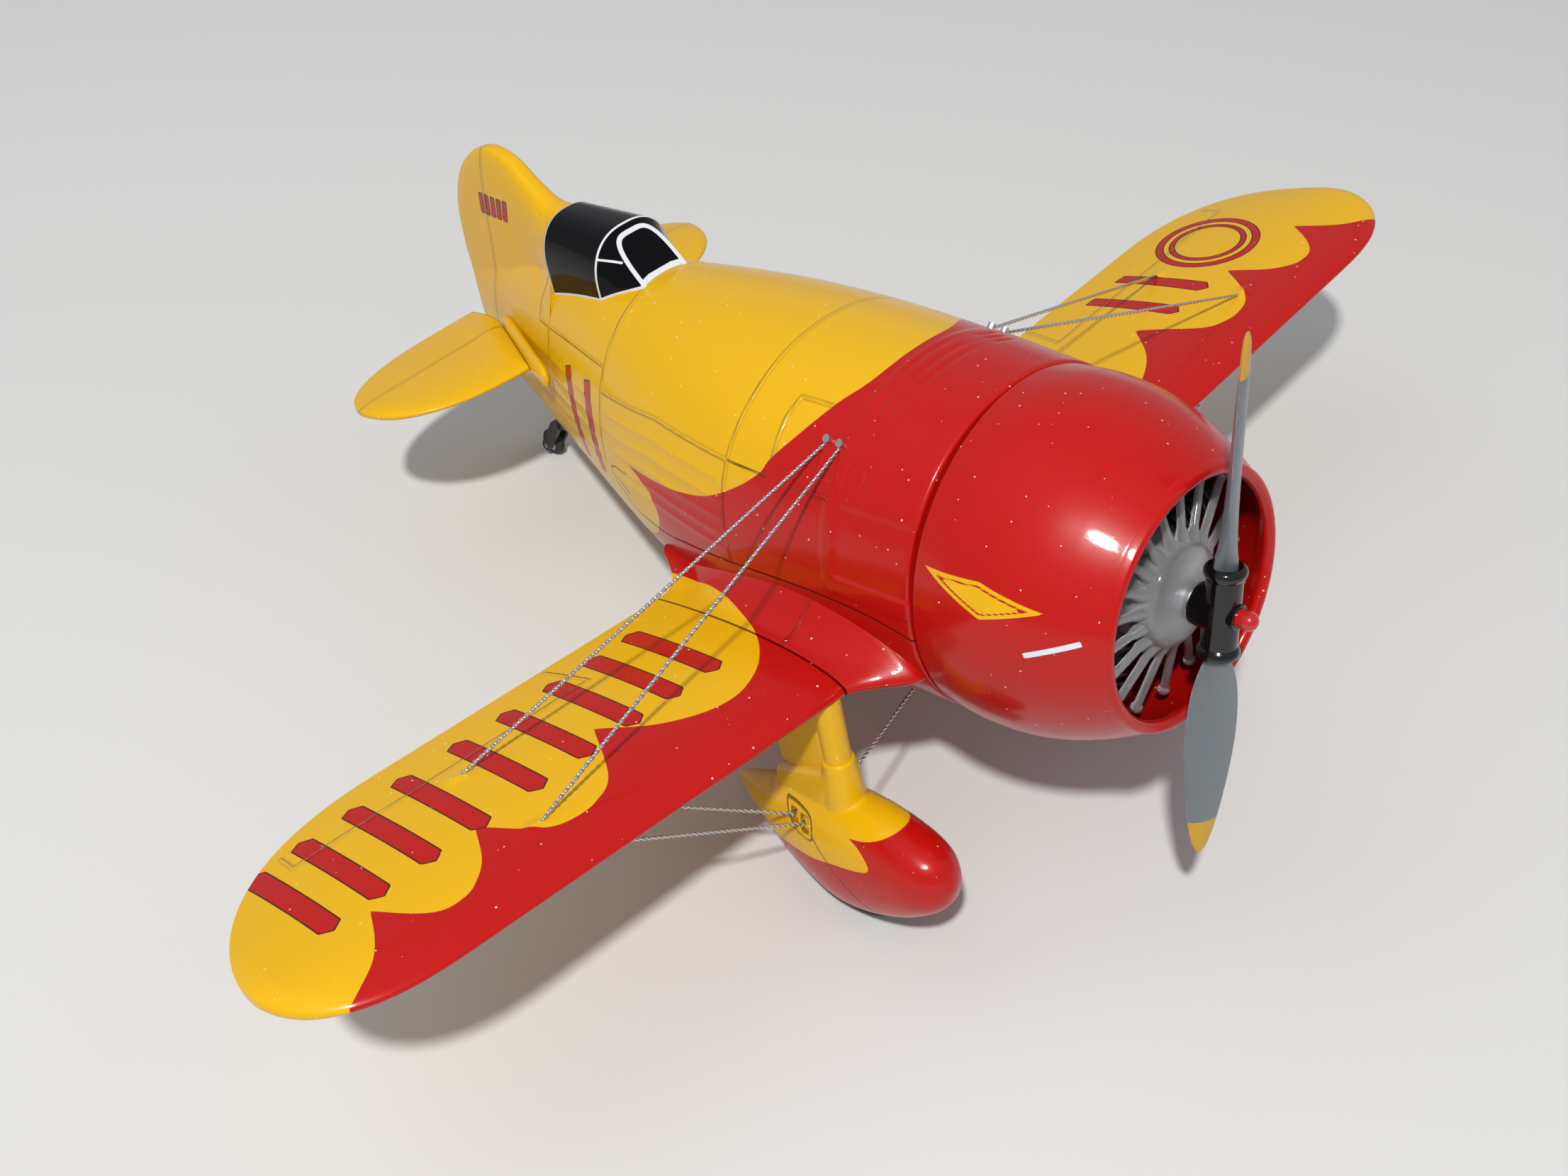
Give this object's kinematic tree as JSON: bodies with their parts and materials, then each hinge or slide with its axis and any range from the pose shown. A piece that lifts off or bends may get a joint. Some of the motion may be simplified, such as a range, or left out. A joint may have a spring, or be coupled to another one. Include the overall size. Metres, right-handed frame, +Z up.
{
  "type": "racing monoplane display model",
  "caption": "Barrel-bodied wire-braced racing monoplane display model with radial engine, wheel spats and tail wheel; propeller and wheels turn.",
  "frame": {"origin": "centre of the footprint of the whole model, on the surface its three wheels stand on", "axes": "+X forward towards the propeller, +Y to the port wing tip, +Z up; the model stands tail down on its wheels"},
  "size_m": [0.172, 0.2398, 0.0962],
  "materials": {
    "yellow_paint": "high gloss enamel",
    "red_paint": "high gloss enamel",
    "black_gloss": "polished",
    "black_metal": "satin",
    "silver_metal": "bright cast",
    "silver_paint": "metallic flake, satin",
    "steel": "satin",
    "silver_cord": "twisted two-ply cord",
    "tyre_rubber": "matte"
  },
  "bodies": {
    "airframe": {"fuselage_upper": "yellow_paint", "fuselage_lower": "red_paint", "canopy": "black_gloss", "body_screws": "steel", "cowl": "red_paint", "engine_plate": "black_metal", "cylinder_bank": "black_metal", "crankcase": "silver_metal", "pushrod_tubes": "silver_metal", "prop_bush": "steel", "right_wing": "red_paint", "left_wing": "red_paint", "wing_screws": "steel", "right_stabiliser": "yellow_paint", "left_stabiliser": "yellow_paint", "right_gear_leg": "yellow_paint", "left_gear_leg": "yellow_paint", "right_spat_front": "red_paint", "left_spat_front": "red_paint", "right_spat_rear": "yellow_paint", "left_spat_rear": "yellow_paint", "right_axle": "steel", "left_axle": "steel", "tail_wheel_fork": "black_metal", "tail_axle": "steel", "right_upper_wires": "silver_cord", "left_upper_wires": "silver_cord", "right_lower_wires": "silver_cord", "left_lower_wires": "silver_cord", "right_inner_wire": "silver_cord", "left_inner_wire": "silver_cord", "fuselage_wire_eyes": "steel", "right_wing_lugs": "steel", "left_wing_lugs": "steel", "right_spat_pins": "steel", "left_spat_pins": "steel"},
    "propeller": {"prop_shaft": "steel", "shaft_retainer": "steel", "prop_hub": "black_gloss", "prop_blade_upper": "silver_paint", "prop_blade_lower": "silver_paint", "nose_cap": "red_paint"},
    "right_wheel": {"right_tyre": "tyre_rubber", "right_wheel_hub": "silver_metal"},
    "left_wheel": {"left_tyre": "tyre_rubber", "left_wheel_hub": "silver_metal"},
    "tail_wheel": {"tail_tyre": "tyre_rubber", "tail_wheel_hub": "silver_metal"}
  },
  "joints": [
    {"name": "propeller_spin", "type": "hinge", "parent": "airframe", "child": "propeller", "pos_m": [0.07673, 0, 0.05914], "axis": [0.9717, 0, 0.2361], "continuous": true},
    {"name": "right_wheel_spin", "type": "hinge", "parent": "airframe", "child": "right_wheel", "pos_m": [0.04609, -0.0354, 0.0095], "axis": [0, 1, 0], "continuous": true},
    {"name": "left_wheel_spin", "type": "hinge", "parent": "airframe", "child": "left_wheel", "pos_m": [0.04609, 0.0354, 0.0095], "axis": [0, 1, 0], "continuous": true},
    {"name": "tail_wheel_spin", "type": "hinge", "parent": "airframe", "child": "tail_wheel", "pos_m": [-0.06616, 0, 0.0026], "axis": [0, 1, 0], "continuous": true}
  ]
}
